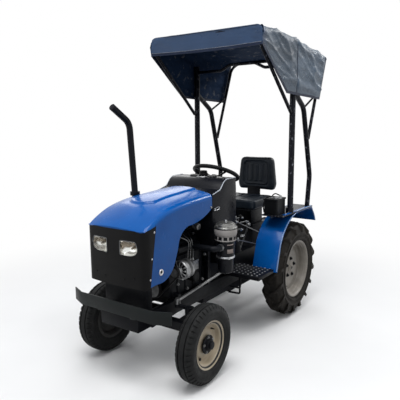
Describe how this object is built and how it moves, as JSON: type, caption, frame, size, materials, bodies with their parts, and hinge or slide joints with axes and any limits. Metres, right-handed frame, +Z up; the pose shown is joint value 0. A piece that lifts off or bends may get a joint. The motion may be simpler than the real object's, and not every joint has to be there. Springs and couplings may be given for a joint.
{
  "type": "mini tractor",
  "caption": "Compact farm tractor with narrow hood, open driver's seat, rear fenders, rear three-point links and a cloth canopy on steel posts.",
  "frame": {"origin": "on the ground under the middle of the whole machine's box, hitch link ends and bumper included", "axes": "+Z up, -Y the way the tractor drives forward, +X the tractor's left"},
  "size_m": [0.944, 2.152, 2.2233],
  "materials": {
    "body_blue": "glossy blue enamel",
    "mask_black": "satin black paint",
    "chassis_black": "semi-gloss black paint",
    "post_black": "gloss black paint",
    "console_black": "satin black paint",
    "bumper_grey": "satin dark grey paint",
    "engine_black": "black painted cast iron",
    "radiator_black": "matt black paint",
    "bare_aluminium": "cast aluminium",
    "belt_and_pulleys": "rubber belt on dark pulleys",
    "exhaust_black": "matt heat-resistant black",
    "cleaner_finish": "black paint with a bare steel head",
    "bare_steel": "zinc-plated steel",
    "lever_steel": "steel stems with dark knobs",
    "seat_vinyl": "black vinyl",
    "plastic_black": "black moulded plastic",
    "canopy_cloth": "coated grey-blue canopy cloth",
    "lamp_glass": "clear lens over a bright reflector",
    "tyre_rubber": "tyre rubber",
    "rim_cream": "cream enamel",
    "rim_grey": "beige-grey enamel"
  },
  "bodies": {
    "chassis": {"frame_rails": "chassis_black", "front_axle": "chassis_black", "front_bumper": "bumper_grey", "radiator": "radiator_black", "engine_block": "engine_black", "cylinder_head": "engine_black", "intake_pipe": "engine_black", "injection_pump": "bare_aluminium", "oil_filter": "plastic_black", "starter_motor": "engine_black", "cooling_fan": "plastic_black", "alternator": "bare_aluminium", "belt_drive": "belt_and_pulleys", "exhaust_stack": "exhaust_black", "air_cleaner": "cleaner_finish", "transmission_case": "engine_black", "pto_shaft": "bare_steel", "hitch_frame": "chassis_black", "fender_left": "body_blue", "fender_right": "body_blue", "footplate_left": "chassis_black", "footplate_right": "chassis_black", "dash_console": "console_black", "steering_column": "chassis_black", "seat_pan": "chassis_black", "seat_cushion": "seat_vinyl", "seat_backrest": "seat_vinyl", "control_levers": "lever_steel", "foot_pedals": "chassis_black", "battery_box": "plastic_black", "side_frame_left": "post_black", "side_frame_right": "post_black", "top_crossbar": "post_black", "front_bow": "post_black", "rear_bow": "post_black", "canopy_cover": "canopy_cloth"},
    "hood": {"hood_shell": "body_blue", "front_mask": "mask_black", "headlamps": "lamp_glass"},
    "knuckle_left": {"knuckle_left": "chassis_black"},
    "knuckle_right": {"knuckle_right": "chassis_black"},
    "tie_rod": {"tie_rod": "bare_steel"},
    "pitman_arm": {"pitman_arm": "chassis_black"},
    "drag_link": {"drag_link": "bare_steel"},
    "steering_wheel": {"steering_wheel": "plastic_black"},
    "front_wheel_left": {"front_tyre_left": "tyre_rubber", "front_rim_left": "rim_cream"},
    "front_wheel_right": {"front_tyre_right": "tyre_rubber", "front_rim_right": "rim_cream"},
    "rear_wheel_left": {"rear_tyre_left": "tyre_rubber", "rear_rim_left": "rim_grey"},
    "rear_wheel_right": {"rear_tyre_right": "tyre_rubber", "rear_rim_right": "rim_grey"},
    "lower_links": {"lower_links": "chassis_black"},
    "lift_arms": {"lift_arms": "chassis_black"},
    "lift_rods": {"lift_rods": "chassis_black"}
  },
  "joints": [
    {"name": "hood_hinge", "type": "hinge", "parent": "chassis", "child": "hood", "pos_m": [0, -0.369, 1.118], "axis": [-1, 0, 0], "range_deg": [0, 50]},
    {"name": "steer_left", "type": "hinge", "parent": "chassis", "child": "knuckle_left", "pos_m": [0.3, -0.728, 0.35], "axis": [0, 0, 1], "range_deg": [-35, 35]},
    {"name": "steer_right", "type": "hinge", "parent": "chassis", "child": "knuckle_right", "pos_m": [-0.3, -0.728, 0.35], "axis": [0, 0, 1], "range_deg": [-35, 35]},
    {"name": "tie_rod_pivot", "type": "hinge", "parent": "knuckle_left", "child": "tie_rod", "pos_m": [0.3, -0.616, 0.27], "axis": [0, 0, 1], "range_deg": [-35, 35]},
    {"name": "pitman_turn", "type": "hinge", "parent": "chassis", "child": "pitman_arm", "pos_m": [0.18, -0.13, 0.63], "axis": [1, 0, 0], "range_deg": [-35, 35]},
    {"name": "drag_link_pivot", "type": "hinge", "parent": "pitman_arm", "child": "drag_link", "pos_m": [0.208, -0.13, 0.538], "axis": [1, 0, 0], "range_deg": [-35, 35]},
    {"name": "steering_wheel_turn", "type": "hinge", "parent": "chassis", "child": "steering_wheel", "pos_m": [0, 0.051, 1.208], "axis": [0, 0.4067, 0.9135], "range_deg": [-420, 420]},
    {"name": "front_wheel_left_spin", "type": "hinge", "parent": "knuckle_left", "child": "front_wheel_left", "pos_m": [0.408, -0.728, 0.248], "axis": [1, 0, 0], "continuous": true},
    {"name": "front_wheel_right_spin", "type": "hinge", "parent": "knuckle_right", "child": "front_wheel_right", "pos_m": [-0.408, -0.728, 0.248], "axis": [1, 0, 0], "continuous": true},
    {"name": "rear_wheel_left_spin", "type": "hinge", "parent": "chassis", "child": "rear_wheel_left", "pos_m": [0.373, 0.606, 0.387], "axis": [1, 0, 0], "continuous": true},
    {"name": "rear_wheel_right_spin", "type": "hinge", "parent": "chassis", "child": "rear_wheel_right", "pos_m": [-0.373, 0.606, 0.387], "axis": [1, 0, 0], "continuous": true},
    {"name": "lower_link_lift", "type": "hinge", "parent": "chassis", "child": "lower_links", "pos_m": [0, 0.69, 0.31], "axis": [1, 0, 0], "range_deg": [-8, 25]},
    {"name": "lift_arm_turn", "type": "hinge", "parent": "chassis", "child": "lift_arms", "pos_m": [0, 0.69, 0.655], "axis": [1, 0, 0], "range_deg": [-8, 25]},
    {"name": "lift_rod_turn", "type": "hinge", "parent": "lift_arms", "child": "lift_rods", "pos_m": [0, 0.86831, 0.63037], "axis": [1, 0, 0], "range_deg": [-25, 8]}
  ],
  "couplings": [
    {"joint": "steer_right", "follows": "steer_left", "ratio": 1},
    {"joint": "tie_rod_pivot", "follows": "steer_left", "ratio": -1},
    {"joint": "pitman_turn", "follows": "steer_left", "ratio": -1},
    {"joint": "drag_link_pivot", "follows": "steer_left", "ratio": 1},
    {"joint": "steering_wheel_turn", "follows": "steer_left", "ratio": 12},
    {"joint": "lift_arm_turn", "follows": "lower_link_lift", "ratio": 1},
    {"joint": "lift_rod_turn", "follows": "lower_link_lift", "ratio": -1}
  ]
}
